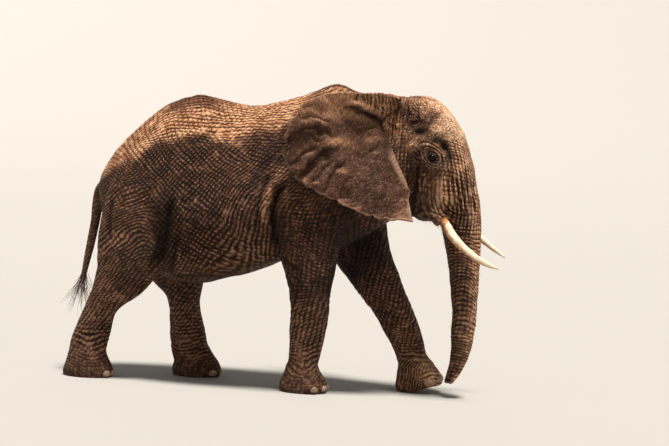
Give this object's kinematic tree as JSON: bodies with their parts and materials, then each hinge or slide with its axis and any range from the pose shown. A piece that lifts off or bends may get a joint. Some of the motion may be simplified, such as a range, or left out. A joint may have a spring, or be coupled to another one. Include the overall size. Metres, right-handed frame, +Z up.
{
  "type": "african elephant",
  "caption": "Still life-size African elephant bull walking, with hanging trunk, curved tusks, spread ears and tufted tail.",
  "frame": {"origin": "middle of the bounding box on the floor, under the belly; the soles stand on Z = 0", "axes": "+X towards the front, the way the elephant walks; +Y towards its left side; +Z up"},
  "size_m": [4.401, 1.5254, 3.0377],
  "materials": {
    "hide": "dry wrinkled hide, matte",
    "ivory": "worn ivory, satin",
    "eyeball": "wet, glossy",
    "hair": "coarse wiry hair"
  },
  "bodies": {
    "root": {"torso": "hide", "neck": "hide", "head": "hide", "trunk_upper": "hide", "trunk_middle": "hide", "trunk_tip": "hide", "ear_right": "hide", "ear_left": "hide", "foreleg_right": "hide", "forefoot_right": "hide", "foreleg_left": "hide", "forefoot_left": "hide", "hindleg_right": "hide", "hindfoot_right": "hide", "hindleg_left": "hide", "hindfoot_left": "hide", "tail": "hide", "tusk_right": "ivory", "tusk_left": "ivory", "eye_right": "eyeball", "eye_left": "eyeball", "tail_brush": "hair"}
  },
  "joints": []
}
